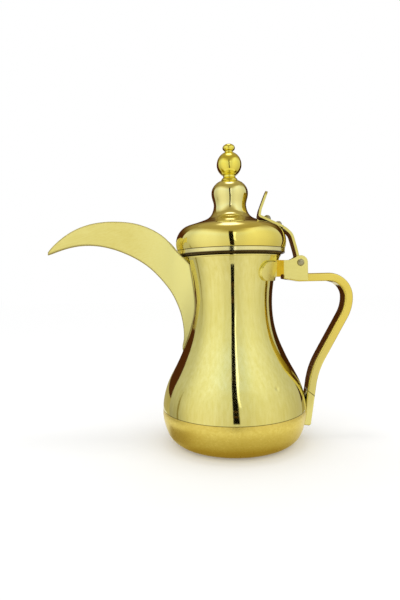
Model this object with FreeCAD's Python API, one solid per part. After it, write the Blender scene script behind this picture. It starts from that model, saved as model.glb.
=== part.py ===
import FreeCAD, Part
import math
import os

from FreeCAD import Vector

# Dallah coffee pot, millimetres, +Z up, +X toward the handle, -X toward the spout.
# The origin is the centre of the base on the surface that the pot stands on.

# Body of revolution: (radius, height) pairs on the outside face
BASE_FLAT_R = 46.0
SEAM_R = 62.5
SEAM_Z = 29.4
CUP_SIDE = [(BASE_FLAT_R, 0.0), (53.0, 2.2), (57.2, 6.3), (60.9, 15.0), (62.6, 23.3), (SEAM_R, SEAM_Z)]
MOUTH_R = 42.3
MOUTH_Z = 159.2
SHELL_SIDE = [(SEAM_R, SEAM_Z), (61.1, 40.5), (56.7, 53.4), (49.9, 66.3), (43.8, 79.2), (38.9, 92.0),
              (35.1, 117.8), (37.8, 143.6), (MOUTH_R, MOUTH_Z)]
SHELL_WALL = 1.3
CUP_WALL = 1.6
CUP_LAP = 4.0
CUP_LAP_R = 60.7
CUP_LAP_WALL = 1.2
MOUTH_RING_H = 1.6
MOUTH_RING_LIP = 0.8

# Strainer holes in the neck, behind the spout
STRAINER_HOLE_R = 1.8
STRAINER_ROWS = 5
STRAINER_ROW_STEP = 9.0
STRAINER_LOW_Z = 102.0
STRAINER_TURNS = (-14.0, 0.0, 14.0)

# Spout: keel (x, z) on the middle plane, and edge (x, half width, z) of one side plate.
# The edge runs along the open top from the tip, then down the neck, just under its skin.
SPOUT_KEEL = [(-162.2, 165.5), (-154.3, 168.0), (-138.0, 172.3), (-118.4, 172.6), (-97.3, 167.0),
              (-76.3, 155.7), (-61.9, 142.0), (-53.7, 131.0), (-48.3, 120.0), (-44.9, 109.5),
              (-43.2, 98.5), (-43.3, 88.0), (-44.2, 78.0)]
SPOUT_EDGE = [(-161.6, 1.2, 168.2), (-152.8, 3.2, 176.4), (-135.5, 6.6, 186.6), (-115.1, 10.4, 191.7),
              (-93.6, 14.2, 191.6), (-72.8, 17.5, 186.8), (-54.3, 19.8, 175.2), (-45.6, 20.6, 164.6),
              (-33.1, 19.8, 150.0), (-29.4, 18.4, 126.0), (-30.0, 17.6, 110.0), (-33.0, 15.0, 97.0),
              (-37.5, 6.0, 80.0)]
SPOUT_PLATE = 1.3
SPOUT_TIP_SHARE = 0.8

# Lid of revolution
RIM_R = 46.6
RIM_Z = 162.2
CREASE_R = 46.8
CREASE_Z = 166.5
LID_TOP_R = 7.4
LID_TOP_Z = 226.2
LID_SIDE = [(CREASE_R, CREASE_Z), (47.9, 173.6), (46.5, 179.3), (41.5, 185.5), (34.3, 188.3), (26.0, 191.1),
            (20.0, 193.7), (16.8, 196.6), (14.5, 202.2), (14.1, 205.4), (15.3, 210.8), (15.9, 216.2),
            (15.1, 219.4), (13.3, 222.3), (10.2, 225.0), (LID_TOP_R, LID_TOP_Z)]
LID_WALL = 1.2
RIM_WALL = 1.3
PLUG_R = 38.2
PLUG_WALL = 1.0
PLUG_LOW_Z = 154.0
SEAT_GAP = 0.35
SEAT_R = 43.4
SEAT_H = 1.2

# Finial on a threaded stud
COLLAR_R = 7.4
COLLAR_TOP_R = 5.3
COLLAR_H = 3.0
COLLAR_SWELL = 0.45
BALL_R = 10.8
BALL_Z = 240.1
BALL_HIGH = 11.4
BALL_STEPS = 8
BALL_NECK_R = 5.3
BEAD_NECK_Z = 251.0
BEAD_NECK_R = 3.4
BEAD_R = 5.4
BEAD_Z = 254.7
BEAD_HALF_H = 3.6
BEAD_STEPS = 6
STUD_R = 2.0
STUD_LOW_Z = 218.5
STUD_TOP_Z = 254.0
BORE_GAP = 0.05
WASHER_R = 5.5
WASHER_H = 1.0
NUT_FLATS = 7.0
NUT_H = 3.2

# Hinge
PIN_X = 58.8
PIN_Z = 153.7
PIN_R = 2.0
PIN_GAP = 0.06
PIN_HEAD_R = 3.1
PIN_HEAD_H = 1.3
CHEEK_IN = 8.6
CHEEK_T = 2.0
CHEEK_END_R = 6.1
CHEEK_LOW = [(64.9, 138.3), (57.0, 138.6), (44.6, 140.6)]
WEB_LOW_Z = 141.8
CHEEK_STEP_Z = 156.0
CHEEK_STEP_X = 49.5
PAD_T = 2.5
PAD_TURN = 37.5
PAD_LOW_Z = 138.6
PAD_HIGH_Z = 154.2
PAD_ENDS = (-12.3, 9.5)
BEND_X = 37.0
BEND_Y = 17.6
WEB_SPARE = 3.0
NOTCH_R = 1.9
NOTCH_X = 42.9
NOTCH_Z = 142.2
KNUCKLE_R = 4.0
STRAP_HALF = 8.2
STRAP_LAP_HALF = 5.0
STRAP_LAP_T = 1.0
STRAP_T = 2.2
STRAP_OUTER = [(45.2, 185.3), (47.2, 184.2), (49.2, 182.5), (52.5, 179.0), (54.5, 173.8), (55.9, 168.7),
               (57.3, 163.3), (58.6, 156.4)]

# Thumb lever, lying on the lid's shoulder
LEVER_T = 2.0
LEVER_HALF = 9.0
LEVER_LOW_X = 44.2
LEVER_LOW_Z = 183.9
LEVER_SLOPE = 0.485
LEVER_BEND_X = 23.5
LEVER_KINK = (24.7, 200.2)
LEVER_TIP = (30.8, 216.1)
LEVER_TIP_ROUND = 5.0
LEVER_BEND_R = 0.6
RIVET_X = (31.0, 40.9)
RIVET_R = 1.5
RIVET_HEAD_R = 3.1
RIVET_HEAD_H = (4.0, 3.3)
RIVET_TAIL_R = 2.5
RIVET_TAIL_H = 1.2
RIVET_GRIP = (2.7, 1.7)
RIVET_REACH = 12.0
STRAP_LAP = (36.0, 46.0)

# Handle: a flat bar, bent at the top and set off at the foot
BAR_W = 17.0
BAR_T = 7.0
BAR_ROUND = 1.4
BAR_START_X = 44.6
BAR_TOP_Z = 144.4
BAR_SLANT = [(44.0, 140.2), (58.2, 137.4), (44.0, 137.4)]
BEND_CENTRE_X = 82.6
BEND_R = 21.0
SIDE_R = 37.0
SIDE_LEAN = 28.8
LEG_LEAN = 8.6
KNEE_X = 69.9
KNEE_Z = 60.3
KNEE_R = 72.0
JOINT_X = 67.8
JOINT_Z = 39.5
JOINT_TILT = 38.0
FOOT_END_Z = 12.5
FOOT_END_R = 2.5

FAR = 400.0


def across(r, z):
    return Vector(r, 0, z)


def curve(points):
    spline = Part.BSplineCurve()
    spline.interpolate([across(r, z) for r, z in points])
    return spline.toShape()


def outline(points):
    return Part.makePolygon([across(r, z) for r, z in points]).Edges


def inset(points, depth):
    # the line moved sideways, to the left of its run, with mitred corners
    runs = []
    for (x1, z1), (x2, z2) in zip(points, points[1:]):
        length = math.hypot(x2 - x1, z2 - z1)
        runs.append(((x2 - x1) / length, (z2 - z1) / length))
    moved = []
    for (x, z), (ax, az), (bx, bz) in zip(points, runs[:1] + runs, runs + runs[-1:]):
        reach = depth / (1 + ax * bx + az * bz)
        moved.append((x - (az + bz) * reach, z + (ax + bx) * reach))
    return moved


def spun(edges):
    face = Part.Face(Part.Wire(Part.__sortEdges__(edges)))
    return face.revolve(Vector(0, 0, 0), Vector(0, 0, 1), 360)


def tube(r, low, high, hole=0.0):
    rod = Part.makeCylinder(r, high - low, Vector(0, 0, low))
    if hole:
        rod = rod.cut(Part.makeCylinder(hole, high - low, Vector(0, 0, low)))
    return rod


def cross_rod(r, x, z, low_y, high_y):
    return Part.makeCylinder(r, high_y - low_y, Vector(x, low_y, z), Vector(0, 1, 0))


def slab(edges, half):
    # a profile in the XZ plane, as wide as twice half along Y
    face = Part.Face(Part.Wire(Part.__sortEdges__(edges)))
    face.translate(Vector(0, -half, 0))
    return face.extrude(Vector(0, 2 * half, 0))


def largest(shape):
    return max(shape.Solids, key=lambda solid: solid.Volume)


def full_body():
    # the pot's outside filled in, to cut what is fitted against it
    side = outline([(0, MOUTH_Z), (0, 0), (BASE_FLAT_R, 0)])
    top = outline([(MOUTH_R, MOUTH_Z), (0, MOUTH_Z)])
    return spun(side + [curve(CUP_SIDE), curve(SHELL_SIDE)] + top)


def full_lid():
    side = outline([LID_SIDE[-1], (0, LID_TOP_Z), (0, CREASE_Z), LID_SIDE[0]])
    return spun(side + [curve(LID_SIDE)])


def base_cup():
    inner = inset(CUP_SIDE, CUP_WALL)
    inner[0] = (BASE_FLAT_R, CUP_WALL)
    inner = inner[:-1]
    lap_in = CUP_LAP_R - CUP_LAP_WALL
    edges = outline([(0, CUP_WALL), (0, 0), (BASE_FLAT_R, 0)])
    edges += outline([(SEAM_R, SEAM_Z), (CUP_LAP_R, SEAM_Z), (CUP_LAP_R, SEAM_Z + CUP_LAP),
                      (lap_in, SEAM_Z + CUP_LAP), (lap_in, SEAM_Z - CUP_LAP), inner[-1]])
    edges += outline([inner[0], (0, CUP_WALL)])
    return spun(edges + [curve(CUP_SIDE), curve(inner)])


def body_shell():
    inner = [(r - SHELL_WALL, z) for r, z in SHELL_SIDE]
    edges = [curve(SHELL_SIDE), curve(inner)]
    edges += outline([SHELL_SIDE[0], inner[0]]) + outline([SHELL_SIDE[-1], inner[-1]])
    shell = spun(edges)
    for row in range(STRAINER_ROWS):
        z = STRAINER_LOW_Z + row * STRAINER_ROW_STEP
        for turn in STRAINER_TURNS:
            way = Vector(-math.cos(math.radians(turn)), math.sin(math.radians(turn)), 0)
            shell = shell.cut(Part.makeCylinder(STRAINER_HOLE_R, SEAM_R, Vector(0, 0, z), way))
    return shell


def mouth_ring():
    # a half-round wire ring on the edge of the mouth
    inner_r = MOUTH_R - SHELL_WALL
    top = MOUTH_Z + MOUTH_RING_H
    round_side = Part.Arc(across(MOUTH_R, MOUTH_Z), across(MOUTH_R + MOUTH_RING_LIP, 0.5 * (MOUTH_Z + top)),
                          across(MOUTH_R, top))
    edges = outline([(MOUTH_R, top), (inner_r, top), (inner_r, MOUTH_Z), (MOUTH_R, MOUTH_Z)])
    return spun(edges + [round_side.toShape()])


def spout_plate(body):
    # the front half of a V trough of two plates that meet on the keel
    sections = []
    for (kx, kz), (ex, half, ez) in zip(SPOUT_KEEL, SPOUT_EDGE):
        share = min(SPOUT_PLATE, SPOUT_TIP_SHARE * half) / half
        keel_in = Vector(kx + share * (ex - kx), 0, kz + share * (ez - kz))
        corners = [Vector(kx, 0, kz), Vector(ex, -half, ez), Vector(ex, half * (share - 1), ez), keel_in]
        sections.append(Part.makePolygon(corners + corners[:1]))
    plate = Part.makeLoft(sections, True, False)
    return largest(plate.cut(body))


def lid_dome(rivet_bores):
    inner = inset(LID_SIDE, LID_WALL)
    inner[0] = (CREASE_R - LID_WALL, CREASE_Z)
    inner[-1] = (LID_TOP_R, LID_TOP_Z - LID_WALL)
    hole = STUD_R + BORE_GAP
    edges = [curve(LID_SIDE), curve(inner)]
    edges += outline([LID_SIDE[0], inner[0]])
    edges += outline([LID_SIDE[-1], (hole, LID_TOP_Z), (hole, LID_TOP_Z - LID_WALL), inner[-1]])
    dome = spun(edges)
    for bore in rivet_bores:
        dome = dome.cut(bore)
    return dome


def lid_rim_band():
    inner = RIM_R - RIM_WALL
    corners = [(inner, RIM_Z), (RIM_R, RIM_Z), (CREASE_R, CREASE_Z), (inner, CREASE_Z), (inner, RIM_Z)]
    edges = outline(corners)
    return spun(edges)


def lid_plug_ring():
    low = MOUTH_Z + MOUTH_RING_H + SEAT_GAP
    bore = PLUG_R - PLUG_WALL
    band_in = RIM_R - RIM_WALL
    edges = outline([(bore, PLUG_LOW_Z), (PLUG_R, PLUG_LOW_Z), (PLUG_R, low), (SEAT_R, low),
                     (band_in, RIM_Z), (band_in, RIM_Z + SEAT_H), (bore, RIM_Z + SEAT_H),
                     (bore, PLUG_LOW_Z)])
    return spun(edges)


def finial_collar():
    top = LID_TOP_Z + COLLAR_H
    bore = STUD_R + BORE_GAP
    waist = (0.5 * (COLLAR_R + COLLAR_TOP_R) + COLLAR_SWELL, LID_TOP_Z + 0.5 * COLLAR_H)
    edges = outline([(COLLAR_TOP_R, top), (bore, top), (bore, LID_TOP_Z), (COLLAR_R, LID_TOP_Z)])
    return spun(edges + [curve([(COLLAR_R, LID_TOP_Z), waist, (COLLAR_TOP_R, top)])])


def finial_ball():
    low = LID_TOP_Z + COLLAR_H
    bore = STUD_R + BORE_GAP
    first = -math.acos(BALL_NECK_R / BALL_R)
    last = math.acos(BEAD_NECK_R / BALL_R)
    turns = [first + (last - first) * i / BALL_STEPS for i in range(BALL_STEPS + 1)]
    side = [(BALL_R * math.cos(a), BALL_Z + (BALL_HIGH if a > 0 else BALL_R) * math.sin(a)) for a in turns]
    edges = outline([side[-1], (BEAD_NECK_R, BEAD_NECK_Z), (bore, BEAD_NECK_Z), (bore, low),
                     (BALL_NECK_R, low), side[0]])
    return spun(edges + [curve(side)])


def finial_bead():
    low = -math.acos(BEAD_NECK_R / BEAD_R)
    turns = [low + (math.pi / 2 - low) * i / BEAD_STEPS for i in range(BEAD_STEPS + 1)]
    oval = [(BEAD_R * math.cos(a), BEAD_Z + BEAD_HALF_H * math.sin(a)) for a in turns]
    oval[-1] = (0, BEAD_Z + BEAD_HALF_H)
    edges = outline([oval[-1], (0, STUD_TOP_Z), (STUD_R, STUD_TOP_Z), (STUD_R, BEAD_NECK_Z),
                     (BEAD_NECK_R, BEAD_NECK_Z), oval[0]])
    return spun(edges + [curve(oval)])


def finial_stud():
    return tube(STUD_R, STUD_LOW_Z, STUD_TOP_Z)


def finial_washer():
    top = LID_TOP_Z - LID_WALL
    return tube(WASHER_R, top - WASHER_H, top, STUD_R + BORE_GAP)


def finial_nut():
    top = LID_TOP_Z - LID_WALL - WASHER_H
    corner = NUT_FLATS / math.sqrt(3)
    angles = [math.radians(60 * i) for i in range(7)]
    corners = [Vector(corner * math.cos(a), corner * math.sin(a), top - NUT_H) for a in angles]
    wire = Part.makePolygon(corners)
    blank = Part.Face(wire).extrude(Vector(0, 0, NUT_H))
    return blank.cut(tube(STUD_R, top - NUT_H, top))


def lever_z(x):
    # underside of the lever's foot
    return LEVER_LOW_Z + (LEVER_LOW_X - x) * LEVER_SLOPE


def lever_up():
    # the way square to the foot, pointing off the lid
    return Vector(LEVER_SLOPE, 0, 1).normalize()


def strap_tongue():
    # the strap's narrow end, let into the underside of the lever's foot
    rise = lever_up() * STRAP_LAP_T
    low = [(x, lever_z(x)) for x in STRAP_LAP]
    high = [(x + rise.x, z + rise.z) for x, z in low]
    return slab(outline(low + high[::-1] + low[:1]), STRAP_LAP_HALF)


def thumb_lever(lid):
    under = [(LEVER_LOW_X, LEVER_LOW_Z), (LEVER_BEND_X, lever_z(LEVER_BEND_X)), LEVER_KINK, LEVER_TIP]
    over = inset(under, -LEVER_T)
    lever = slab(outline(under + over[::-1] + under[:1]), LEVER_HALF)
    corner = [e for e in lever.Edges if e.Length < 1.1 * LEVER_T and e.BoundBox.ZMax > LEVER_TIP[1] - 0.1]
    lever = lever.makeFillet(LEVER_TIP_ROUND, corner)
    bends = [(under[1], LEVER_T + LEVER_BEND_R), (over[1], LEVER_BEND_R)]
    for (x, z), r in bends:
        fold = [e for e in lever.Edges if e.CenterOfMass.distanceToPoint(across(x, z)) < 0.1]
        lever = lever.makeFillet(r, fold)
    return largest(lever.cut(lid).cut(strap_tongue()))


def hinge_strap(lid, lever):
    # its tongue lies under the lever's foot, and it comes down from the foot's end to an eye round the pin
    outer = STRAP_OUTER
    inner = inset(STRAP_OUTER, -STRAP_T)
    edges = [curve(outer), curve(inner)] + outline([outer[-1], inner[-1]]) + outline([outer[0], inner[0]])
    eye = cross_rod(KNUCKLE_R, PIN_X, PIN_Z, -STRAP_HALF, STRAP_HALF)
    strap = slab(edges, STRAP_HALF).fuse([strap_tongue(), eye]).removeSplitter()
    strap = strap.cut(cross_rod(PIN_R + PIN_GAP, PIN_X, PIN_Z, -FAR, FAR))
    return largest(strap.cut(lid).cut(lever))


def rivet_rods(r):
    # one long rod on each rivet's line
    up = lever_up()
    starts = [Vector(x, 0, lever_z(x)) - up * RIVET_REACH / 2 for x in RIVET_X]
    return [Part.makeCylinder(r, RIVET_REACH, start, up) for start in starts]


def lever_rivets():
    # both go through lever, strap and lid, and are headed over inside
    up = lever_up()
    rivets = []
    for x, grip, head_h in zip(RIVET_X, RIVET_GRIP, RIVET_HEAD_H):
        foot = Vector(x, 0, lever_z(x))
        top = foot + up * LEVER_T
        low = foot - up * grip
        shank = Part.makeCylinder(RIVET_R, (top - low).Length, low, up)
        tail = Part.makeCylinder(RIVET_TAIL_R, RIVET_TAIL_H, low - up * RIVET_TAIL_H, up)
        cap_r = (RIVET_HEAD_R ** 2 + head_h ** 2) / (2 * head_h)
        ball = Part.makeSphere(cap_r, top + up * (head_h - cap_r))
        head = ball.common(Part.makeCylinder(RIVET_HEAD_R, head_h, top, up))
        rivets.append(shank.fuse([tail, head]).removeSplitter())
    return Part.makeCompound(rivets)


def hinge_pin():
    end = CHEEK_IN + CHEEK_T
    pin = cross_rod(PIN_R, PIN_X, PIN_Z, -end, end)
    cap_r = (PIN_HEAD_R ** 2 + PIN_HEAD_H ** 2) / (2 * PIN_HEAD_H)
    for side in (-1, 1):
        ball = Part.makeSphere(cap_r, Vector(PIN_X, side * (end + PIN_HEAD_H - cap_r), PIN_Z))
        low, high = sorted((side * end, side * (end + PIN_HEAD_H)))
        pin = pin.fuse(ball.common(cross_rod(PIN_HEAD_R, PIN_X, PIN_Z, low, high)))
    return pin.removeSplitter()


def hinge_bracket(body):
    # the front strap: a round-ended pad on the neck, an oblique bend, and a cheek beside the hinge
    out = CHEEK_IN + CHEEK_T
    right = PIN_X + CHEEK_END_R
    left = CHEEK_LOW[-1][0]
    bow = CHEEK_END_R * math.sqrt(0.5)
    crown = Part.Arc(across(PIN_X - bow, PIN_Z + bow), across(PIN_X, PIN_Z + CHEEK_END_R),
                     across(right, PIN_Z))
    edges = outline([(right, PIN_Z)] + CHEEK_LOW + [(left, CHEEK_STEP_Z), (CHEEK_STEP_X, CHEEK_STEP_Z),
                                                    (PIN_X - bow, PIN_Z + bow)])
    cheek = slab(edges + [crown.toShape()], 0.5 * CHEEK_T)
    cheek.translate(Vector(0, -CHEEK_IN - 0.5 * CHEEK_T, 0))
    cheek = cheek.cut(cross_rod(PIN_R, PIN_X, PIN_Z, -FAR, FAR))
    start = Vector(left, -out, WEB_LOW_Z)
    bend = Vector(BEND_X, -BEND_Y, WEB_LOW_Z)
    run = (bend - start).normalize()
    depth = Vector(-run.y, run.x, 0) * -CHEEK_T
    end = bend + run * WEB_SPARE
    corners = [start, end, end + depth, start + depth, Vector(left, -CHEEK_IN, WEB_LOW_Z), start]
    web = Part.Face(Part.makePolygon(corners)).extrude(Vector(0, 0, CHEEK_STEP_Z - WEB_LOW_Z))
    skin = spun([curve([(r + PAD_T, z) for r, z in SHELL_SIDE])]
                + outline([(MOUTH_R + PAD_T, MOUTH_Z), (0, MOUTH_Z), (0, SEAM_Z), (SEAM_R + PAD_T, SEAM_Z)]))
    pad = skin.common(pad_stencil())
    bracket = cheek.fuse([web, pad]).cut(cross_rod(NOTCH_R, NOTCH_X, NOTCH_Z, -FAR, FAR))
    return largest(bracket.cut(body).removeSplitter())


def pad_stencil():
    # the pad's round-ended outline, looking along +X
    half = 0.5 * (PAD_HIGH_Z - PAD_LOW_Z)
    mid = 0.5 * (PAD_HIGH_Z + PAD_LOW_Z)
    start, end = PAD_ENDS
    nose = Part.makeCylinder(half, FAR, Vector(0, start + half, mid), Vector(1, 0, 0))
    strip = Part.makeBox(FAR, end - start - half, 2 * half, Vector(0, start + half, PAD_LOW_Z))
    stencil = nose.fuse(strip)
    stencil.rotate(Vector(0, 0, 0), Vector(0, 0, 1), -PAD_TURN)
    return stencil


def mirrored(shape):
    # the same piece on the back
    return shape.mirror(Vector(0, 0, 0), Vector(0, 1, 0))


def leg_end():
    return KNEE_X - (KNEE_Z - FOOT_END_Z) * math.tan(math.radians(LEG_LEAN)), FOOT_END_Z


def handle_path():
    # middle line of the bar in the XZ plane, from the hinge to the foot
    half = 0.5 * BAR_T
    mid_z = BAR_TOP_Z - half
    turn_z = BAR_TOP_Z - BEND_R
    top_r = BEND_R - half
    side_r = SIDE_R - half
    side_x = BEND_CENTRE_X + BEND_R - SIDE_R
    lean = math.radians(SIDE_LEAN)
    leg = math.radians(LEG_LEAN)
    bow = math.sqrt(0.5) * top_r
    side_end = (side_x + side_r * math.cos(lean), turn_z - side_r * math.sin(lean))
    side_mid = (side_x + side_r * math.cos(lean / 2), turn_z - side_r * math.sin(lean / 2))
    knee = (KNEE_X, KNEE_Z)
    slope = math.atan2(side_end[0] - knee[0], side_end[1] - knee[1])
    knee_t = KNEE_R * math.tan((slope - leg) / 2)
    above = (knee[0] + knee_t * math.sin(slope), knee[1] + knee_t * math.cos(slope))
    below = (knee[0] - knee_t * math.sin(leg), knee[1] - knee_t * math.cos(leg))
    sag = KNEE_R * (1 / math.cos((slope - leg) / 2) - 1)
    tilt = 0.5 * (slope + leg)
    knee_mid = (knee[0] + sag * math.cos(tilt), knee[1] - sag * math.sin(tilt))
    edges = outline([(BAR_START_X, mid_z), (BEND_CENTRE_X, mid_z)])
    edges.append(Part.Arc(across(BEND_CENTRE_X, mid_z), across(BEND_CENTRE_X + bow, turn_z + bow),
                          across(BEND_CENTRE_X + top_r, turn_z)).toShape())
    edges.append(Part.Arc(across(BEND_CENTRE_X + top_r, turn_z), across(*side_mid),
                          across(*side_end)).toShape())
    edges += outline([side_end, above])
    edges.append(Part.Arc(across(*above), across(*knee_mid), across(*below)).toShape())
    return Part.Wire(edges + outline([below, leg_end()]))


def handle_strip():
    box = Part.makeBox(1, BAR_W, BAR_T, Vector(BAR_START_X, -0.5 * BAR_W, BAR_TOP_Z - BAR_T))
    long_edges = [e for e in box.Edges if e.BoundBox.XLength > 0.5]
    section = [w for w in box.makeFillet(BAR_ROUND, long_edges).Faces if w.BoundBox.XLength < 0.01]
    start = min(section, key=lambda f: f.CenterOfMass.x).OuterWire
    return handle_path().makePipeShell([start], True, False, 1)


def joint_cut():
    # everything below the slanting joint between the bar and its foot
    block = Part.makeBox(FAR, FAR, FAR, Vector(-0.5 * FAR, -0.5 * FAR, -FAR))
    block.rotate(Vector(0, 0, 0), Vector(0, 1, 0), JOINT_TILT)
    block.translate(Vector(JOINT_X, 0, JOINT_Z))
    return block


def handle_bar(body):
    slant = slab(outline(BAR_SLANT + BAR_SLANT[:1]), BAR_W)
    return largest(handle_strip().cut(joint_cut()).cut(slant).cut(body))


def handle_foot(body):
    # its lower end is rounded off on the outside
    x, z = leg_end()
    leg = math.radians(LEG_LEAN)
    down = Vector(-math.sin(leg), 0, -math.cos(leg))
    out = Vector(math.cos(leg), 0, -math.sin(leg))
    centre = across(x, z) + out * (0.5 * BAR_T - FOOT_END_R) - down * FOOT_END_R
    reach = 2 * FOOT_END_R
    square = [centre, centre + out * reach, centre + (out + down) * reach, centre + down * reach, centre]
    corner = slab(Part.makePolygon(square).Edges, BAR_W)
    corner = corner.cut(cross_rod(FOOT_END_R, centre.x, centre.z, -BAR_W, BAR_W))
    return largest(handle_strip().common(joint_cut()).cut(corner).cut(body))


def main():
    os.makedirs("parts", exist_ok=True)
    body = full_body()
    lid = full_lid()
    lever = thumb_lever(lid)
    spout = spout_plate(body)
    bracket = hinge_bracket(body)
    pieces = {
        "body_shell": body_shell(),
        "base_cup": base_cup(),
        "mouth_ring": mouth_ring(),
        "spout_plate_front": spout,
        "spout_plate_back": mirrored(spout),
        "hinge_bracket_front": bracket,
        "hinge_bracket_back": mirrored(bracket),
        "hinge_pin": hinge_pin(),
        "handle_bar": handle_bar(body),
        "handle_foot": handle_foot(body),
        "lid_dome": lid_dome(rivet_rods(RIVET_R + BORE_GAP)),
        "lid_rim_band": lid_rim_band(),
        "lid_plug_ring": lid_plug_ring(),
        "finial_collar": finial_collar(),
        "finial_ball": finial_ball(),
        "finial_bead": finial_bead(),
        "finial_stud": finial_stud(),
        "finial_washer": finial_washer(),
        "finial_nut": finial_nut(),
        "thumb_lever": lever,
        "hinge_strap": hinge_strap(lid, lever),
        "lever_rivets": lever_rivets(),
    }
    for rod in rivet_rods(RIVET_R):
        pieces["thumb_lever"] = pieces["thumb_lever"].cut(rod)
        pieces["hinge_strap"] = pieces["hinge_strap"].cut(rod)
    for name, shape in pieces.items():
        shape.exportStep("parts/" + name + ".step")
        box = shape.BoundBox
        print(name, shape.isValid(), len(shape.Solids), round(shape.Volume, 1),
              [round(v, 1) for v in (box.XMin, box.XMax, box.YMin, box.YMax, box.ZMin, box.ZMax)])


main()
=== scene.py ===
import math

import bpy
from mathutils import Matrix, Vector

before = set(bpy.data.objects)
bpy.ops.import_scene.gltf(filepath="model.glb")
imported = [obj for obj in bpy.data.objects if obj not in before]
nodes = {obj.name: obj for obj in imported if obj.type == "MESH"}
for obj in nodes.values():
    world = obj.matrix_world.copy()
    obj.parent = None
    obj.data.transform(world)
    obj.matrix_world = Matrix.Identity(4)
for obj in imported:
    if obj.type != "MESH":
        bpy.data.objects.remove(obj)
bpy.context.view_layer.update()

scene = bpy.context.scene
scene.view_settings.view_transform = "Standard"
print("frame loaded:", len(nodes), "nodes")


# camera, metres and degrees in the pot's own frame

cameraSpec = {
    "place": (-0.01733, -0.39702, 0.1388),
    "yaw": -1.544,
    "down": 2.266,
    "roll": -1.33,
    "lens": 27.0,
    "nearest": 0.01,
}


def addCamera(spec):
    yaw, down, roll = (math.radians(spec[k]) for k in ("yaw", "down", "roll"))
    ahead = Vector((math.sin(yaw) * math.cos(down), math.cos(yaw) * math.cos(down), -math.sin(down)))
    level = Vector((math.cos(yaw), -math.sin(yaw), 0))
    overhead = level.cross(ahead)
    right = math.cos(roll) * level + math.sin(roll) * overhead
    up = math.cos(roll) * overhead - math.sin(roll) * level
    data = bpy.data.cameras.new("potCamera")
    data.lens = spec["lens"]
    data.clip_start = spec["nearest"]
    cam = bpy.data.objects.new("potCamera", data)
    scene.collection.objects.link(cam)
    cam.matrix_world = Matrix((right, up, -ahead)).transposed().to_4x4()
    cam.location = spec["place"]
    scene.camera = cam


addCamera(cameraSpec)
print("camera set")


# shader node groups

edgeSamples = 6
cornerSamples = 8


def setInput(tree, socket, value):
    if isinstance(value, bpy.types.NodeSocket):
        tree.links.new(value, socket)
    else:
        socket.default_value = value


def newGroup(name, inputs, outputs):
    tree = bpy.data.node_groups.new(name, "ShaderNodeTree")
    for label, kind, value in inputs:
        socket = tree.interface.new_socket(name=label, in_out="INPUT", socket_type=kind)
        socket.default_value = value
    for label, kind in outputs:
        tree.interface.new_socket(name=label, in_out="OUTPUT", socket_type=kind)
    return tree, tree.nodes.new("NodeGroupInput"), tree.nodes.new("NodeGroupOutput")


def addMath(tree, operation, a, b=0.0):
    node = tree.nodes.new("ShaderNodeMath")
    node.operation = operation
    setInput(tree, node.inputs[0], a)
    setInput(tree, node.inputs[1], b)
    return node.outputs[0]


def addClamp(tree, value):
    return addMath(tree, "MINIMUM", addMath(tree, "MAXIMUM", value, 0.0), 1.0)


def addVectorMath(tree, operation, *sources):
    node = tree.nodes.new("ShaderNodeVectorMath")
    node.operation = operation
    for socket, source in zip(node.inputs, sources):
        tree.links.new(source, socket)
    return node.outputs["Value" if operation in ("DOT_PRODUCT", "DISTANCE") else "Vector"]


def addNoise(tree, vector, scale, detail, roughness):
    node = tree.nodes.new("ShaderNodeTexNoise")
    tree.links.new(vector, node.inputs["Vector"])
    node.inputs["Detail"].default_value = detail
    node.inputs["Roughness"].default_value = roughness
    setInput(tree, node.inputs["Scale"], scale)
    return node.outputs["Fac"]


def addSpread(tree, value, low, high):
    # from none at the low value to all at the high one
    node = tree.nodes.new("ShaderNodeMapRange")
    tree.links.new(value, node.inputs["Value"])
    setInput(tree, node.inputs["From Min"], low)
    setInput(tree, node.inputs["From Max"], high)
    return node


def blendTone(tree, mask, under, over):
    mix = tree.nodes.new("ShaderNodeMix")
    mix.data_type = "RGBA"
    tree.links.new(mask, mix.inputs["Factor"])
    for socket, value in ((mix.inputs["A"], under), (mix.inputs["B"], over)):
        setInput(tree, socket, value if isinstance(value, bpy.types.NodeSocket) else (*value, 1))
    return mix.outputs["Result"]


def objectPlace(tree):
    return tree.nodes.new("ShaderNodeTexCoord").outputs["Object"]


def splitPlace(tree):
    split = tree.nodes.new("ShaderNodeSeparateXYZ")
    tree.links.new(objectPlace(tree), split.inputs[0])
    return split.outputs


def makeToneDrift():
    # slow change of colour over polished or rubbed brass
    tree, start, end = newGroup(
        "toneDrift",
        [("Pale", "NodeSocketColor", (0.8, 0.8, 0.8, 1)), ("Deep", "NodeSocketColor", (0.5, 0.5, 0.5, 1)),
         ("Scale", "NodeSocketFloat", 30.0), ("Share", "NodeSocketFloat", 0.5)],
        [("Color", "NodeSocketColor")])
    cloud = addNoise(tree, objectPlace(tree), start.outputs["Scale"], detail=4.0, roughness=0.6)
    spread = addSpread(tree, cloud, low=0.35, high=0.7)
    mask = addMath(tree, "MULTIPLY", spread.outputs[0], start.outputs["Share"])
    tree.links.new(blendTone(tree, mask, start.outputs["Pale"], start.outputs["Deep"]), end.inputs["Color"])
    return tree


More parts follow.
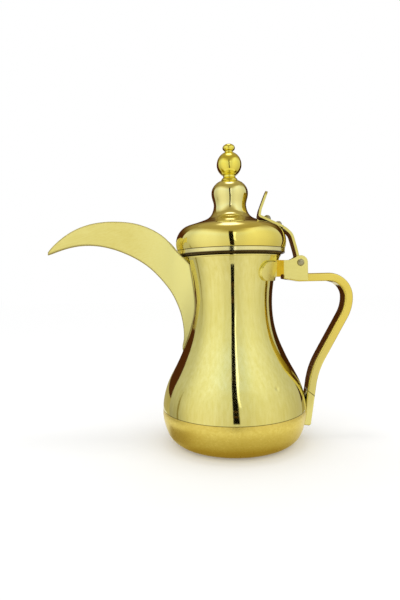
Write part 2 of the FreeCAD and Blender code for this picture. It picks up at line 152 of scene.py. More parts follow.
def makeBrushLines():
    # fine lines that run along one way of the piece
    tree, start, end = newGroup(
        "brushLines",
        [("Turn", "NodeSocketFloat", 0.0), ("Along", "NodeSocketFloat", 40.0),
         ("Across", "NodeSocketFloat", 2500.0), ("Side", "NodeSocketFloat", 2500.0)],
        [("Lines", "NodeSocketFloat")])
    turned = tree.nodes.new("ShaderNodeVectorRotate")
    turned.rotation_type = "Y_AXIS"
    tree.links.new(objectPlace(tree), turned.inputs["Vector"])
    tree.links.new(start.outputs["Turn"], turned.inputs["Angle"])
    pace = tree.nodes.new("ShaderNodeCombineXYZ")
    tree.links.new(start.outputs["Along"], pace.inputs["X"])
    tree.links.new(start.outputs["Side"], pace.inputs["Y"])
    tree.links.new(start.outputs["Across"], pace.inputs["Z"])
    stretched = addVectorMath(tree, "MULTIPLY", turned.outputs[0], pace.outputs[0])
    tree.links.new(addNoise(tree, stretched, scale=1.0, detail=3.0, roughness=0.65), end.inputs["Lines"])
    return tree


def makeTurnedRings():
    # fine rings round the pot's axis, left by the lathe and the polishing wheel
    tree, start, end = newGroup(
        "turnedRings",
        [("Pace", "NodeSocketFloat", 900.0), ("Waver", "NodeSocketFloat", 6.0)],
        [("Rings", "NodeSocketFloat")])
    split = splitPlace(tree)
    joined = tree.nodes.new("ShaderNodeCombineXYZ")
    for axis, pace in (("X", "Waver"), ("Y", "Waver"), ("Z", "Pace")):
        tree.links.new(addMath(tree, "MULTIPLY", split[axis], start.outputs[pace]), joined.inputs[axis])
    rings = addNoise(tree, joined.outputs[0], scale=1.0, detail=3.0, roughness=0.6)
    tree.links.new(rings, end.inputs["Rings"])
    return tree


def makePlanishing():
    # shallow marks that the hammer and the wheel leave in sheet brass, upright streaks where stretched
    tree, start, end = newGroup(
        "planishing",
        [("Scale", "NodeSocketFloat", 60.0), ("Stretch", "NodeSocketFloat", 0.5)],
        [("Height", "NodeSocketFloat")])
    flat = tree.nodes.new("ShaderNodeCombineXYZ")
    flat.inputs["X"].default_value = 1.0
    flat.inputs["Y"].default_value = 1.0
    tree.links.new(start.outputs["Stretch"], flat.inputs["Z"])
    pulled = addVectorMath(tree, "MULTIPLY", objectPlace(tree), flat.outputs[0])
    marks = addNoise(tree, pulled, start.outputs["Scale"], detail=2.0, roughness=0.5)
    tree.links.new(marks, end.inputs["Height"])
    return tree


def makeCornerGrimeAndShade():
    # grime and painted shade: brown darkening in the corners and gaps where pieces meet, wherever nearby
    # surfaces hide the light
    tree, start, end = newGroup(
        "cornerGrimeAndShade",
        [("Clean", "NodeSocketColor", (0.8, 0.8, 0.8, 1)), ("DirtAndShade", "NodeSocketColor", (0.1, 0.06, 0.02, 1)),
         ("Reach", "NodeSocketFloat", 0.003), ("Share", "NodeSocketFloat", 0.6)],
        [("Color", "NodeSocketColor")])
    corner = tree.nodes.new("ShaderNodeAmbientOcclusion")
    corner.samples = cornerSamples
    tree.links.new(start.outputs["Reach"], corner.inputs["Distance"])
    hidden = addMath(tree, "SUBTRACT", 1.0, corner.outputs["AO"])
    spread = addSpread(tree, hidden, low=0.28, high=0.8)
    mask = addMath(tree, "MULTIPLY", spread.outputs[0], start.outputs["Share"])
    tree.links.new(blendTone(tree, mask, start.outputs["Clean"], start.outputs["DirtAndShade"]), end.inputs["Color"])
    return tree


def makeSeamAndShadowLine():
    # thin dark line where a plane across the axis cuts the piece
    tree, start, end = newGroup(
        "seamAndShadowLine",
        [("Axis", "NodeSocketVector", (0, 0, 1)), ("Height", "NodeSocketFloat", 0.0),
         ("Width", "NodeSocketFloat", 0.0004), ("Sharp", "NodeSocketFloat", 1.0)],
        [("Mask", "NodeSocketFloat")])
    along = addVectorMath(tree, "DOT_PRODUCT", objectPlace(tree), start.outputs["Axis"])
    away = addMath(tree, "ABSOLUTE", addMath(tree, "SUBTRACT", along, start.outputs["Height"]))
    share = addMath(tree, "DIVIDE", away, start.outputs["Width"])
    depth = addMath(tree, "MULTIPLY", addMath(tree, "SUBTRACT", 1.0, share), start.outputs["Sharp"])
    tree.links.new(addClamp(tree, depth), end.inputs["Mask"])
    return tree


# how fast the brazing leans over, and comes in at its top and its foot, per metre
brazeSlopes = {"lean": 38.0, "top": 1000.0, "foot": 300.0}


def makeBrazeBand():
    # strip of brazing on the neck beside each spout plate, leaning away from the spout above its foot
    tree, start, end = newGroup(
        "brazeBand",
        [("Foot", "NodeSocketFloat", 0.097), ("Top", "NodeSocketFloat", 0.158),
         ("Near", "NodeSocketFloat", 20.0), ("Far", "NodeSocketFloat", 29.5),
         ("Lean", "NodeSocketFloat", 10.5)],
        [("Mask", "NodeSocketFloat")])
    split = splitPlace(tree)
    side = addMath(tree, "ABSOLUTE", split["Y"])
    turn = addMath(tree, "ARCTAN2", side, addMath(tree, "MULTIPLY", split["X"], -1.0))
    turn = addMath(tree, "DEGREES", turn)
    above = addMath(tree, "SUBTRACT", split["Z"], start.outputs["Foot"])
    below = addMath(tree, "SUBTRACT", start.outputs["Top"], split["Z"])
    rise = addClamp(tree, addMath(tree, "MULTIPLY", above, brazeSlopes["lean"]))
    shift = addMath(tree, "MULTIPLY", rise, start.outputs["Lean"])
    inner = addMath(tree, "SUBTRACT", turn, addMath(tree, "ADD", start.outputs["Near"], shift))
    outer = addMath(tree, "SUBTRACT", addMath(tree, "ADD", start.outputs["Far"], shift), turn)
    under = addMath(tree, "MULTIPLY", below, brazeSlopes["top"])
    low = addMath(tree, "MULTIPLY", above, brazeSlopes["foot"])
    across = addMath(tree, "MINIMUM", inner, outer)
    inside = addMath(tree, "MINIMUM", across, addMath(tree, "MINIMUM", under, low))
    tree.links.new(addClamp(tree, inside), end.inputs["Mask"])
    return tree


def makeDulledEdge():
    # cut edges of plate that the polishing wheel left dull
    tree, start, end = newGroup(
        "dulledEdge", [("Radius", "NodeSocketFloat", 0.0007), ("Share", "NodeSocketFloat", 1.0)],
        [("Mask", "NodeSocketFloat")])
    soft = tree.nodes.new("ShaderNodeBevel")
    soft.samples = edgeSamples
    tree.links.new(start.outputs["Radius"], soft.inputs["Radius"])
    shape = tree.nodes.new("ShaderNodeNewGeometry")
    facing = addVectorMath(tree, "DOT_PRODUCT", soft.outputs[0], shape.outputs["Normal"])
    spread = addSpread(tree, addMath(tree, "SUBTRACT", 1.0, facing), low=0.02, high=0.25)
    tree.links.new(addMath(tree, "MULTIPLY", spread.outputs[0], start.outputs["Share"]), end.inputs["Mask"])
    return tree


def makeSpanMask():
    # soft-edged span between two X values
    tree, start, end = newGroup(
        "spanMask",
        [("Low", "NodeSocketFloat", 0.0), ("High", "NodeSocketFloat", 1.0),
         ("Soft", "NodeSocketFloat", 0.0004)],
        [("Mask", "NodeSocketFloat")])
    split = splitPlace(tree)
    past = addMath(tree, "SUBTRACT", split["X"], start.outputs["Low"])
    before = addMath(tree, "SUBTRACT", start.outputs["High"], split["X"])
    rise = addMath(tree, "DIVIDE", past, start.outputs["Soft"])
    fall = addMath(tree, "DIVIDE", before, start.outputs["Soft"])
    tree.links.new(addClamp(tree, addMath(tree, "MINIMUM", rise, fall)), end.inputs["Mask"])
    return tree


def makeRampMask():
    # from none at the low place to all at the high one, measured along an axis
    tree, start, end = newGroup(
        "rampMask",
        [("Axis", "NodeSocketVector", (0, 0, 1)), ("Low", "NodeSocketFloat", 0.0),
         ("High", "NodeSocketFloat", 1.0)],
        [("Mask", "NodeSocketFloat")])
    along = addVectorMath(tree, "DOT_PRODUCT", objectPlace(tree), start.outputs["Axis"])
    spread = addSpread(tree, along, start.outputs["Low"], start.outputs["High"])
    tree.links.new(spread.outputs[0], end.inputs["Mask"])
    return tree


def makeDent():
    # one knock in the sheet
    tree, start, end = newGroup(
        "dent", [("Centre", "NodeSocketVector", (0, 0, 0)), ("Radius", "NodeSocketFloat", 0.003)],
        [("Depth", "NodeSocketFloat")])
    far = addVectorMath(tree, "DISTANCE", objectPlace(tree), start.outputs["Centre"])
    share = addMath(tree, "DIVIDE", far, start.outputs["Radius"])
    inside = addMath(tree, "MAXIMUM", addMath(tree, "SUBTRACT", 1.0, share), 0.0)
    tree.links.new(addMath(tree, "MULTIPLY", inside, inside), end.inputs["Depth"])
    return tree


def makeTurnedNormal():
    # for pieces turned about the pot's axis: the small sideways lean of the mesh's normals is taken out
    tree, start, end = newGroup(
        "turnedNormal", [("Most", "NodeSocketFloat", 0.08)], [("Normal", "NodeSocketVector")])
    place = tree.nodes.new("ShaderNodeTexCoord")
    split = tree.nodes.new("ShaderNodeSeparateXYZ")
    tree.links.new(place.outputs["Object"], split.inputs[0])
    around = tree.nodes.new("ShaderNodeCombineXYZ")
    tree.links.new(addMath(tree, "MULTIPLY", split.outputs["Y"], -1.0), around.inputs["X"])
    tree.links.new(split.outputs["X"], around.inputs["Y"])
    side = addVectorMath(tree, "NORMALIZE", around.outputs[0])
    lean = addVectorMath(tree, "DOT_PRODUCT", place.outputs["Normal"], side)
    small = addMath(tree, "LESS_THAN", addMath(tree, "ABSOLUTE", lean), start.outputs["Most"])
    wobble = addVectorMath(tree, "SCALE", side)
    tree.links.new(addMath(tree, "MULTIPLY", lean, small), wobble.node.inputs["Scale"])
    turn = tree.nodes.new("ShaderNodeVectorTransform")
    turn.vector_type = "NORMAL"
    turn.convert_from = "OBJECT"
    turn.convert_to = "WORLD"
    tree.links.new(addVectorMath(tree, "SUBTRACT", place.outputs["Normal"], wobble), turn.inputs[0])
    tree.links.new(turn.outputs[0], end.inputs["Normal"])
    return tree


groups = {
    "toneDrift": makeToneDrift(),
    "seamAndShadowLine": makeSeamAndShadowLine(),
    "brazeBand": makeBrazeBand(),
    "dulledEdge": makeDulledEdge(),
    "spanMask": makeSpanMask(),
    "rampMask": makeRampMask(),
    "dent": makeDent(),
    "brushLines": makeBrushLines(),
    "turnedRings": makeTurnedRings(),
    "planishing": makePlanishing(),
    "turnedNormal": makeTurnedNormal(),
    "cornerGrimeAndShade": makeCornerGrimeAndShade(),
}
print("shader groups built:", ", ".join(groups))


# brass finishes

# seamAndShadowLines: dark seam lines and painted shadow lines, each (axis, height along it, half width,
# sharpness); drift: (pace, share)
upright = (0, 0, 1)
finishes = {
    "mirrorShell": {"pale": (0.94, 0.90, 0.395), "deep": (0.72, 0.64, 0.15), "drift": (18.0, 0.5),
                    "roughness": (0.05, 0.085),
                    "marks": "planishing", "markValues": {"Scale": 450.0, "Stretch": 0.16},
                    "depth": 0.000001, "grimeAndShade": 0.5, "lines": 0.9,
                    "braze": {"tone": (1.0, 0.87, 0.16), "roughness": 0.36},
                    "seamAndShadowLines": [(upright, 0.0294, 0.0004, 1.0)],
                    "dent": {"centre": (0.0316, -0.0461, 0.0538), "depth": 0.0008}},
    "mirrorMouth": {"pale": (0.88, 0.79, 0.28), "deep": (0.80, 0.70, 0.20), "drift": (60.0, 0.6),
                    "roughness": (0.06, 0.1),
                    "marks": "planishing", "markValues": {"Scale": 200.0, "Stretch": 1.0},
                    "depth": 0.00001, "grimeAndShade": 0.4},
    "satinCup": {"pale": (0.97, 0.82, 0.24), "deep": (0.68, 0.51, 0.075), "drift": (40.0, 0.35),
                 "roughness": (0.26, 0.36),
                 "marks": "turnedRings", "markValues": {"Pace": 650.0, "Waver": 450.0},
                 "depth": 0.000004, "grimeAndShade": 0.5, "lines": 0.9,
                 "seamAndShadowLines": [(upright, 0.0294, 0.0004, 1.0)]},
    "mirrorLid": {"pale": (0.86, 0.77, 0.24), "deep": (0.84, 0.72, 0.18), "drift": (22.0, 0.6),
                  "roughness": (0.045, 0.08),
                  "marks": "planishing", "markValues": {"Scale": 60.0, "Stretch": 1.0},
                  "depth": 0.000001, "grimeAndShade": 0.5,
                  # painted light: the lid's right side turns deeper gold and its upper part paler, standing
                  # for how it reflects its surroundings
                  "ramps": [{"axis": (1, 0, 0), "span": (-0.015, 0.012), "tone": (0.855, 0.715, 0.145)},
                            {"axis": upright, "span": (0.178, 0.190), "tone": (0.84, 0.765, 0.29)}]},
    # paler than the lid's dome
    "paleRimBand": {"pale": (0.85, 0.79, 0.37), "deep": (0.80, 0.72, 0.28), "drift": (120.0, 0.8),
                "roughness": (0.09, 0.16),
                "marks": "turnedRings", "markValues": {"Pace": 1500.0, "Waver": 150.0},
                "depth": 0.000003, "grimeAndShade": 0.6,
                # the second line is painted shadow: the dark gap under the lid's rim drawn on the band's
                # lower edge
                "seamAndShadowLines": [(upright, 0.1665, 0.0007, 2.0), (upright, 0.1619, 0.0016, 2.0)]},
    "brushedSpout": {"pale": (0.98, 0.92, 0.39), "deep": (0.83, 0.73, 0.20), "drift": (35.0, 0.3),
                     "roughness": (0.48, 0.6), "marks": "brushLines",
                     "markValues": {"Turn": 0.25, "Along": 40.0, "Across": 1100.0, "Side": 600.0},
                     "depth": 0.000004, "grimeAndShade": 0.15, "lines": 0.7, "edge": 0.9, "edgeWidth": 0.0022,
                     # painted light: the plates turn paler toward the pot, lifting the dark they reflect from
                     # the belly there
                     "ramps": [{"axis": (1, 0, 0), "span": (-0.09, -0.05), "tone": (0.99, 0.95, 0.40)}]},
    "brushedPlate": {"pale": (0.93, 0.85, 0.29), "deep": (0.85, 0.75, 0.21), "drift": (60.0, 0.6),
                     "roughness": (0.28, 0.38), "marks": "brushLines",
                     "markValues": {"Turn": 0.0, "Along": 60.0, "Across": 1200.0, "Side": 600.0},
                     "depth": 0.000004, "grimeAndShade": 0.7, "lines": 0.4, "edge": 0.6, "edgeWidth": 0.0007,
                     # painted reflection: the bend between pad and cheek is made deep gold, standing for the
                     # brass mirrored in its hollow
                     "bend": {"span": (0.0372, 0.0446), "tone": (0.86, 0.58, 0.03)}},
    "brushedLever": {"pale": (0.85, 0.76, 0.23), "deep": (0.74, 0.63, 0.14), "drift": (60.0, 0.6),
                     "roughness": (0.10, 0.18), "marks": "brushLines",
                     "markValues": {"Turn": -0.6, "Along": 60.0, "Across": 1200.0, "Side": 600.0},
                     "depth": 0.000004, "grimeAndShade": 1.0, "lines": 0.4, "edge": 0.8, "edgeWidth": 0.0007},
    "brushedHandle": {"pale": (0.88, 0.725, 0.16), "deep": (0.81, 0.63, 0.10), "drift": (45.0, 0.6),
                      "roughness": (0.09, 0.15), "marks": "brushLines",
                      "markValues": {"Turn": 0.9, "Along": 60.0, "Across": 700.0, "Side": 900.0},
                      "depth": 0.0000015, "grimeAndShade": 0.6, "lines": 0.4, "soft": 0.0012,
                      "seamAndShadowLines": [((0.6157, 0, 0.788), 0.07287, 0.0005, 1.0)],
                      "ramps": [{"axis": (0, 0, -1), "span": (-0.10, -0.05), "tone": (0.78, 0.70, 0.23)}]},
    "castFinial": {"pale": (0.88, 0.775, 0.135), "deep": (0.80, 0.64, 0.07), "drift": (90.0, 0.6),
                   "roughness": (0.05, 0.09),
                   "marks": "turnedRings", "markValues": {"Pace": 900.0, "Waver": 60.0},
                   "depth": 0.000004, "grimeAndShade": 0.8},
    "dullRivet": {"pale": (0.52, 0.48, 0.28), "deep": (0.24, 0.20, 0.10), "drift": (420.0, 1.0),
                  "roughness": (0.30, 0.5),
                  "marks": "planishing", "markValues": {"Scale": 500.0, "Stretch": 1.0},
                  "depth": 0.0002, "grimeAndShade": 0.8},
    # painted shade: the plug ring is made near-black, standing for the shadow in the gap between lid and
    # mouth
    "shadowedSeat": {"pale": (0.12, 0.08, 0.035), "deep": (0.05, 0.03, 0.012), "drift": (90.0, 0.8),
                 "roughness": (0.45, 0.6),
                 "marks": "turnedRings", "markValues": {"Pace": 1800.0, "Waver": 40.0},
                 "depth": 0.00001, "grimeAndShade": 0.9},
    "turnedInside": {"pale": (0.66, 0.55, 0.22), "deep": (0.52, 0.41, 0.14), "drift": (70.0, 0.8),
                     "roughness": (0.38, 0.5),
                     "marks": "turnedRings", "markValues": {"Pace": 1800.0, "Waver": 20.0},
                     "depth": 0.00001, "grimeAndShade": 0.6},
}
# dark brown for grime, dark joints and painted shade
dirtAndShadeColour = (0.05, 0.025, 0.008)
edgeColour = (0.34, 0.27, 0.09)
turnedFinishes = ("mirrorShell", "mirrorMouth", "satinCup", "mirrorLid", "paleRimBand", "castFinial")


def placeGroup(tree, name, values):
    node = tree.nodes.new("ShaderNodeGroup")
    node.node_tree = groups[name]
    for label, value in values.items():
        node.inputs[label].default_value = value
    return node


def makeFinish(name, spec):
    material = bpy.data.materials.new(name)
    material.use_nodes = True
    tree = material.node_tree
    brass = tree.nodes["Principled BSDF"]
    brass.inputs["Metallic"].default_value = 1.0
    marks = placeGroup(tree, spec["marks"], spec["markValues"])
    spread = addSpread(tree, marks.outputs[0], low=0.3, high=0.7)
    spread.inputs["To Min"].default_value, spread.inputs["To Max"].default_value = spec["roughness"]
    if "braze" in spec:
        braze = placeGroup(tree, "brazeBand", {}).outputs[0]
        level = tree.nodes.new("ShaderNodeMix")
        tree.links.new(braze, level.inputs["Factor"])
        tree.links.new(spread.outputs[0], level.inputs["A"])
        level.inputs["B"].default_value = spec["braze"]["roughness"]
        tree.links.new(level.outputs["Result"], brass.inputs["Roughness"])
    else:
        tree.links.new(spread.outputs[0], brass.inputs["Roughness"])
    scale, share = spec["drift"]
    tone = placeGroup(tree, "toneDrift", {"Pale": (*spec["pale"], 1), "Deep": (*spec["deep"], 1),
                                          "Scale": scale, "Share": share}).outputs["Color"]
    if "lines" in spec:
        tone = blendTone(tree, addMath(tree, "MULTIPLY", marks.outputs[0], spec["lines"]), tone, spec["deep"])
    if "braze" in spec:
        tone = blendTone(tree, braze, tone, spec["braze"]["tone"])
    for ramp in spec.get("ramps", []):
        low, high = ramp["span"]
        share = placeGroup(tree, "rampMask", {"Axis": ramp["axis"], "Low": low, "High": high})
        tone = blendTone(tree, share.outputs[0], tone, ramp["tone"])
    if "bend" in spec:
        low, high = spec["bend"]["span"]
        span = placeGroup(tree, "spanMask", {"Low": low, "High": high})
        tone = blendTone(tree, span.outputs[0], tone, spec["bend"]["tone"])
    if "edge" in spec:
        edge = placeGroup(tree, "dulledEdge", {"Share": spec["edge"], "Radius": spec["edgeWidth"]})
        tone = blendTone(tree, edge.outputs[0], tone, edgeColour)
    for axis, height, width, sharp in spec.get("seamAndShadowLines", []):
        line = placeGroup(tree, "seamAndShadowLine", {"Axis": axis, "Height": height, "Width": width, "Sharp": sharp})
        tone = blendTone(tree, line.outputs[0], tone, dirtAndShadeColour)
    # painted shade with grime: the base colour darkens in corners and gaps where less light reaches
    grimeAndShade = placeGroup(tree, "cornerGrimeAndShade", {"DirtAndShade": (*dirtAndShadeColour, 1), "Share": spec["grimeAndShade"]})
    tree.links.new(tone, grimeAndShade.inputs["Clean"])
    tree.links.new(grimeAndShade.outputs["Color"], brass.inputs["Base Color"])
    bump = tree.nodes.new("ShaderNodeBump")
    bump.inputs["Distance"].default_value = spec["depth"]
    tree.links.new(marks.outputs[0], bump.inputs["Height"])
    if name in turnedFinishes:
        tree.links.new(placeGroup(tree, "turnedNormal", {}).outputs[0], bump.inputs["Normal"])
    if "soft" in spec:
        rounded = tree.nodes.new("ShaderNodeBevel")
        rounded.samples = edgeSamples
        rounded.inputs["Radius"].default_value = spec["soft"]
        tree.links.new(rounded.outputs[0], bump.inputs["Normal"])
    tree.links.new(bump.outputs[0], brass.inputs["Normal"])
    if "dent" in spec:
        knock = placeGroup(tree, "dent", {"Centre": spec["dent"]["centre"]})
        hollow = tree.nodes.new("ShaderNodeBump")
        hollow.invert = True
        hollow.inputs["Distance"].default_value = spec["dent"]["depth"]
        tree.links.new(knock.outputs[0], hollow.inputs["Height"])
        tree.links.new(bump.outputs[0], hollow.inputs["Normal"])
        tree.links.new(hollow.outputs[0], brass.inputs["Normal"])
    return material


brassOf = {name: makeFinish(name, spec) for name, spec in finishes.items()}

nodeFinish = {
    "body_shell": "mirrorShell", "mouth_ring": "mirrorMouth", "base_cup": "satinCup",
    "spout_plate_front": "brushedSpout", "spout_plate_back": "brushedSpout",
    "hinge_bracket_front": "brushedPlate", "hinge_bracket_back": "brushedPlate",
    "thumb_lever": "brushedLever", "hinge_strap": "brushedLever",
    "hinge_pin": "dullRivet", "lever_rivets": "dullRivet",
    "handle_bar": "brushedHandle", "handle_foot": "brushedHandle",
    "lid_dome": "mirrorLid", "lid_rim_band": "paleRimBand",
    "finial_collar": "castFinial", "finial_ball": "castFinial", "finial_bead": "castFinial",
    "lid_plug_ring": "shadowedSeat", "finial_stud": "turnedInside", "finial_washer": "turnedInside",
    "finial_nut": "turnedInside",
}
for nodeName, finish in nodeFinish.items():
    mesh = nodes[nodeName].data
    mesh.materials.clear()
    mesh.materials.append(brassOf[finish])
print("finishes given to", len(nodeFinish), "nodes")


# studio: white world, pale floor, soft light above, and a small tent of cards that show only in the brass

studio = {
    "ambient": 0.95,
    "floorSize": 6.0,
    "floorTone": 0.88,
    "floorLift": 0.16,
    "floorDrop": 0.0003,
    "topLamp": {"place": (0.0, 0.0, 0.60), "size": (0.10, 0.10), "glow": 12.0},
    "cameraTurn": -92.5,
}
# turn: degrees round the pot from the camera's side, to the right
# the tent's cloth: its tone along the turn, how much brighter it is higher up, the height of its top,
# its colour from the table up as a share of that height, and how much darker its left is near the table
tent = {
    "distance": 0.34,
    "turns": (-113.5, 122.6),
    "turnStep": 2.0,
    "low": -0.06,
    "high": 0.66,
    "rows": 36,
    "liftFrom": 0.14,
    "liftShare": 0.8,
    "lowFrom": 0.09,
    "lowReach": 0.12,
    "tone": [(-114, 0.57), (-90, 0.6), (-66, 0.92), (-50, 1.0), (-30, 0.98), (-15, 0.86), (0, 0.8),
             (20, 0.83), (35, 0.93), (50, 0.95), (75, 0.84), (95, 0.69), (123, 0.61)],
    "lift": [(-114, 1.3), (-90, 1.3), (-60, 1.1), (-15, 1.0), (20, 1.0), (50, 1.15), (123, 1.2)],
    "top": [(-114, 0.36), (-84, 0.47), (-60, 0.47), (0, 0.34), (30, 0.4), (60, 0.55), (80, 0.56),
            (123, 0.38)],
    "cloth": [(0.0, (0.95, 0.9, 0.8)), (0.45, (1.0, 0.99, 0.96)), (0.65, (1.0, 1.0, 1.0)),
              (0.85, (1.0, 1.05, 1.2)), (1.0, (1.0, 1.0, 1.0)), (1.1, (0.84, 0.8, 0.7)),
              (1.3, (0.62, 0.55, 0.38)), (1.6, (0.5, 0.43, 0.25))],
    "leftLow": [(-114, 0.7), (-60, 1.0)],
}
# other cards: tones run along the turn, fade runs up the card
flags = {
    "backRoom": {
        "distance": 0.36,
        "tones": [(122.6, (0.05, 0.016, 0.005)), (160, (0.045, 0.0135, 0.004)), (200, (0.07, 0.022, 0.008)),
                  (246.5, (0.08, 0.024, 0.009))],
        "fade": [(-0.06, 1.0), (0.31, 1.1), (0.36, (2.0, 3.4, 3.0))],
    },
    "backTableRight": {
        "distance": 0.357,
        "tones": [(122.6, (0.42, 0.35, 0.15)), (166, (0.42, 0.35, 0.15))],
        "fade": [(-0.06, 1.0), (-0.006, 0.9)],
    },
    "backTableLeft": {
        "distance": 0.357,
        "tones": [(196, (0.50, 0.43, 0.24)), (246.5, (0.52, 0.45, 0.26))],
        "fade": [(-0.06, 1.0), (0.034, 0.9)],
    },
    "backRise": {
        "distance": 0.362,
        "tones": [(121, 1.0), (248, 1.0)],
        "fade": [(0.355, (0.12, 0.07, 0.025)), (0.40, (0.2, 0.14, 0.055)), (0.47, (0.32, 0.25, 0.12)),
                 (0.66, (0.38, 0.31, 0.16))],
    },
    "backGlowRight": {
        "distance": 0.352,
        "tones": [(157, 0.5), (161, 0.9), (166, 0.7)],
        "fade": [(-0.06, 0.8), (0.10, 1.0), (0.24, 1.0), (0.29, (0.3, 0.2, 0.1))],
    },
    "backGlowLeft": {
        "distance": 0.352,
        "tones": [(194, 0.7), (199, 0.9), (203, 0.5)],
        "fade": [(-0.06, 0.8), (0.10, 1.0), (0.24, 1.0), (0.29, (0.3, 0.2, 0.1))],
    },
}
# narrow strips: (height, left turn, right turn, tone)
slitTone = (0.004, 0.003, 0.002)
brownTone = (0.07, 0.035, 0.01)
strips = {
    "frontSlit": {
        "distance": 0.33,
        "rows": [(-0.02, -1.2, 7.8, slitTone), (0.03, -1.4, 7.4, slitTone), (0.045, -1.5, 7.2, brownTone),
                 (0.055, -1.6, 7.0, slitTone), (0.075, -1.6, 6.9, slitTone), (0.085, -1.6, 6.9, brownTone),
                 (0.095, -1.6, 6.8, slitTone), (0.20, -2.6, 5.8, slitTone), (0.30, -3.4, 5.6, slitTone),
                 (0.38, -3.6, 5.4, (0.02, 0.012, 0.004)), (0.46, -4.0, 5.2, (0.20, 0.16, 0.07))],
    },
    "slitFoot": {
        "distance": 0.33,
        "rows": [(-0.056, -3.6, 8.0, (0.42, 0.37, 0.2)), (-0.038, -3.6, 8.0, (0.42, 0.37, 0.2))],
    },
    "slitEdge": {
        "distance": 0.332,
        "rows": [(0.115, 8.4, 10.8, (1.2, 1.2, 1.3)), (0.15, 6.4, 9.8, (1.4, 1.4, 1.5)),
                 (0.20, 5.6, 8.8, (1.5, 1.5, 1.7)), (0.30, 5.4, 9.6, (1.6, 1.6, 1.9)),
                 (0.38, 5.2, 12.0, (1.7, 1.7, 2.0))],
    },
    "leftFold": {
        "distance": 0.33,
        "rows": [(-0.05, -93.0, -88.6, (0.30, 0.25, 0.12)), (0.06, -90.8, -87.2, (0.32, 0.27, 0.14)),
                 (0.14, -87.6, -86.4, (0.55, 0.52, 0.42))],
    },
}
# discs, with tones from the middle outward: a ceiling with the lamp's glow, and a mat under the pot whose
# dark middle is painted shadow, the pot's shadow on the table as the brass sees it
ceiling = {"height": 0.62,
           "tones": [(0.0, (2.6, 2.6, 4.2)), (0.06, (2.4, 2.35, 3.4)), (0.095, (1.4, 1.3, 1.3)),
                     (0.135, (0.56, 0.48, 0.29)), (0.19, (0.46, 0.385, 0.215)), (0.40, (0.46, 0.385, 0.215))]}
matShadowTones = {"height": -0.058,
            "tones": [(0.0, (0.30, 0.21, 0.05)), (0.07, (0.38, 0.28, 0.08)), (0.09, (0.46, 0.38, 0.16)),
                      (0.13, (0.66, 0.60, 0.40)), (0.20, (0.94, 0.92, 0.82)), (0.37, (1.0, 0.99, 0.95))]}
# level strips, with tones from front to back: the lamp's glow drawn out backward, and a shade low on the left
lampTail = {"height": 0.612, "sides": (-0.05, 0.05),
            "tones": [(-0.04, (2.3, 2.3, 3.4)), (0.06, (1.7, 1.65, 2.2)), (0.14, (1.0, 0.97, 1.15)),
                      (0.30, (0.9, 0.86, 0.9))]}
leftShade = {"height": -0.05, "sides": (-0.18, -0.09),
             "tones": [(-0.12, (0.84, 0.78, 0.58)), (-0.07, (0.60, 0.52, 0.30)), (-0.02, (0.40, 0.32, 0.14)),
                       (0.08, (0.32, 0.25, 0.10))]}
# widest step between a card's points: up it, round the pot in degrees, out from the middle, and along a strip
fineness = {"height": 0.05, "turn": 4.0, "ring": 0.2, "tail": 0.02}
discSides = 36
cards = []


def addWorld(level):
    world = bpy.data.worlds.new("whiteStudio")
    scene.world = world
    world.use_nodes = True
    tree = world.node_tree
    tree.nodes.clear()
    path = tree.nodes.new("ShaderNodeLightPath")
    seen = addMath(tree, "MAXIMUM", path.outputs["Is Camera Ray"], path.outputs["Is Glossy Ray"])
    seen = addMath(tree, "MAXIMUM", seen, path.outputs["Is Transmission Ray"])
    soft = tree.nodes.new("ShaderNodeBackground")
    soft.inputs["Strength"].default_value = level
    white = tree.nodes.new("ShaderNodeBackground")
    for shade in (soft, white):
        shade.inputs["Color"].default_value = (1, 1, 1, 1)
    mix = tree.nodes.new("ShaderNodeMixShader")
    out = tree.nodes.new("ShaderNodeOutputWorld")
    tree.links.new(seen, mix.inputs["Fac"])
    tree.links.new(soft.outputs[0], mix.inputs[1])
    tree.links.new(white.outputs[0], mix.inputs[2])
    tree.links.new(mix.outputs[0], out.inputs[0])


def addFloor(spec):
    half = spec["floorSize"] / 2
    mesh = bpy.data.meshes.new("paleFloor")
    corners = [(-half, -half, 0), (half, -half, 0), (half, half, 0), (-half, half, 0)]
    mesh.from_pydata(corners, [], [(0, 1, 2, 3)])
    floor = bpy.data.objects.new("paleFloor", mesh)
    scene.collection.objects.link(floor)
    floor.location.z = -spec["floorDrop"]
    floor.visible_glossy = False
    material = bpy.data.materials.new("paleFloor")
    material.use_nodes = True
    tree = material.node_tree
    tree.nodes.clear()
    matt = tree.nodes.new("ShaderNodeBsdfDiffuse")
    matt.inputs["Color"].default_value = (*asTone(spec["floorTone"]), 1)
    lift = tree.nodes.new("ShaderNodeEmission")
    path = tree.nodes.new("ShaderNodeLightPath")
    shown = addMath(tree, "MULTIPLY", path.outputs["Is Camera Ray"], spec["floorLift"])
    tree.links.new(shown, lift.inputs["Strength"])
    both = tree.nodes.new("ShaderNodeAddShader")
    out = tree.nodes.new("ShaderNodeOutputMaterial")
    tree.links.new(matt.outputs[0], both.inputs[0])
    tree.links.new(lift.outputs[0], both.inputs[1])
    tree.links.new(both.outputs[0], out.inputs[0])
    mesh.materials.append(material)


def addTopLamp(spec):
    data = bpy.data.lights.new("topLamp", "AREA")
    data.shape = "RECTANGLE"
    data.size, data.size_y = spec["size"]
    data.energy = spec["glow"] * math.pi * data.size * data.size_y
    lamp = bpy.data.objects.new("topLamp", data)
    scene.collection.objects.link(lamp)
    lamp.location = spec["place"]
    lamp.visible_glossy = False


def clamp(share):
    return min(max(share, 0.0), 1.0)


def between(table, x):
    # straight-line reading of a table of (position, value or colour)
    for (a, low), (b, high) in zip(table, table[1:]):
        if x <= b:
            t = clamp((x - a) / (b - a))
            return [p + (q - p) * t for p, q in zip(low, high)]
    return list(table[-1][1])


def steps(table, finest):
    # the table's own positions, with more between them
    spots = []
    for (a, _), (b, _) in zip(table, table[1:]):
        count = max(1, math.ceil((b - a) / finest))
        spots += [a + (b - a) * i / count for i in range(count)]
    return spots + [table[-1][0]]


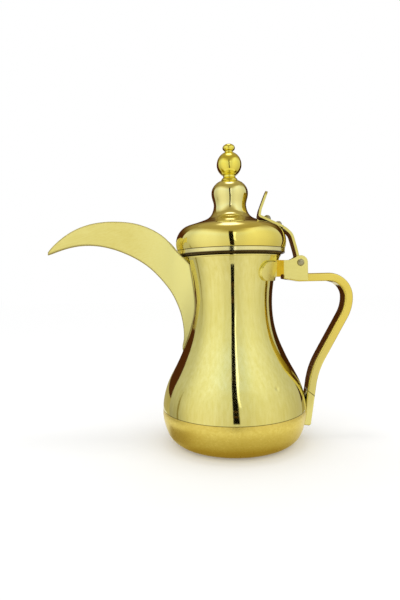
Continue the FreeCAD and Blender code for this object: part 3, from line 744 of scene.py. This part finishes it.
def addCard(name, columns, shades):
    # a grid of points with a glow of its own at each, seen only by the metal
    tall = len(columns[0])
    points = [p for column in columns for p in column]
    faces = []
    for i in range(len(columns) - 1):
        for j in range(tall - 1):
            a = i * tall + j
            faces.append((a, a + tall, a + tall + 1, a + 1))
    mesh = bpy.data.meshes.new(name)
    mesh.from_pydata(points, [], faces)
    tint = mesh.color_attributes.new("glow", "FLOAT_COLOR", "POINT")
    for spot, shade in zip(tint.data, shades):
        spot.color = (*shade, 1)
    card = bpy.data.objects.new(name, mesh)
    scene.collection.objects.link(card)
    card.visible_camera = False
    card.visible_diffuse = False
    card.visible_shadow = False
    card.visible_transmission = False
    card.visible_volume_scatter = False
    material = bpy.data.materials.new(name)
    material.use_nodes = True
    tree = material.node_tree
    tree.nodes.clear()
    read = tree.nodes.new("ShaderNodeAttribute")
    read.attribute_name = "glow"
    shine = tree.nodes.new("ShaderNodeEmission")
    out = tree.nodes.new("ShaderNodeOutputMaterial")
    tree.links.new(read.outputs["Color"], shine.inputs["Color"])
    tree.links.new(shine.outputs[0], out.inputs[0])
    mesh.materials.append(material)
    cards.append(card)


def asTone(value):
    return (value,) * 3 if isinstance(value, (int, float)) else value


def cardPoint(turn, distance, z):
    angle = math.radians(studio["cameraTurn"] + turn)
    return (distance * math.cos(angle), distance * math.sin(angle), z)


def addFlag(name, spec):
    tones = [(turn, asTone(tone)) for turn, tone in spec["tones"]]
    fade = [(z, asTone(share)) for z, share in spec["fade"]]
    heights = steps(fade, fineness["height"])
    columns, shades = [], []
    for turn in steps(tones, fineness["turn"]):
        columns.append([cardPoint(turn, spec["distance"], z) for z in heights])
        tone = between(tones, turn)
        shades += [[c * share for c, share in zip(tone, between(fade, z))] for z in heights]
    addCard(name, columns, shades)


def readAt(table, x):
    return between([(spot, (value,)) for spot, value in table], x)[0]


def addTent(spec):
    first, last = spec["turns"]
    count = int((last - first) / spec["turnStep"])
    turns = [first + i * spec["turnStep"] for i in range(count)] + [last]
    rise = spec["high"] - spec["low"]
    heights = [spec["low"] + rise * i / spec["rows"] for i in range(spec["rows"] + 1)]
    liftFrom = spec["liftFrom"]
    columns, shades = [], []
    for turn in turns:
        tone, lift, top, low = (readAt(spec[k], turn) for k in ("tone", "lift", "top", "leftLow"))
        columns.append([cardPoint(turn, spec["distance"], z) for z in heights])
        for z in heights:
            up = clamp((z - liftFrom) / (spec["liftShare"] * top - liftFrom))
            down = clamp((spec["lowFrom"] - z) / spec["lowReach"])
            level = tone * (1 + (lift - 1) * up) * (1 + (low - 1) * down)
            shades.append([level * c for c in between(spec["cloth"], z / top)])
    addCard("tent", columns, shades)


def addStrip(name, spec):
    rows = spec["rows"]
    columns = [[cardPoint(row[side], spec["distance"], row[0]) for row in rows] for side in (1, 2)]
    addCard(name, columns, [row[3] for _ in columns for row in rows])


def addDisc(name, spec):
    rings = steps(spec["tones"], fineness["ring"])
    turns = [2 * math.pi * i / discSides for i in range(discSides + 1)]
    columns = [[(r * math.cos(a), r * math.sin(a), spec["height"]) for r in rings] for a in turns]
    addCard(name, columns, [between(spec["tones"], r) for _ in turns for r in rings])


def addTail(name, spec):
    stops = steps(spec["tones"], fineness["tail"])
    columns = [[(x, y, spec["height"]) for y in stops] for x in spec["sides"]]
    addCard(name, columns, [between(spec["tones"], y) for _ in columns for y in stops])


addWorld(studio["ambient"])
addFloor(studio)
addTopLamp(studio["topLamp"])
addTent(tent)
for flagName, flagSpec in flags.items():
    addFlag(flagName, flagSpec)
for stripName, stripSpec in strips.items():
    addStrip(stripName, stripSpec)
addDisc("ceiling", ceiling)
addTail("lampTail", lampTail)
addTail("leftShade", leftShade)
addDisc("shadowMat", matShadowTones)
print("studio set with", len(cards), "cards")
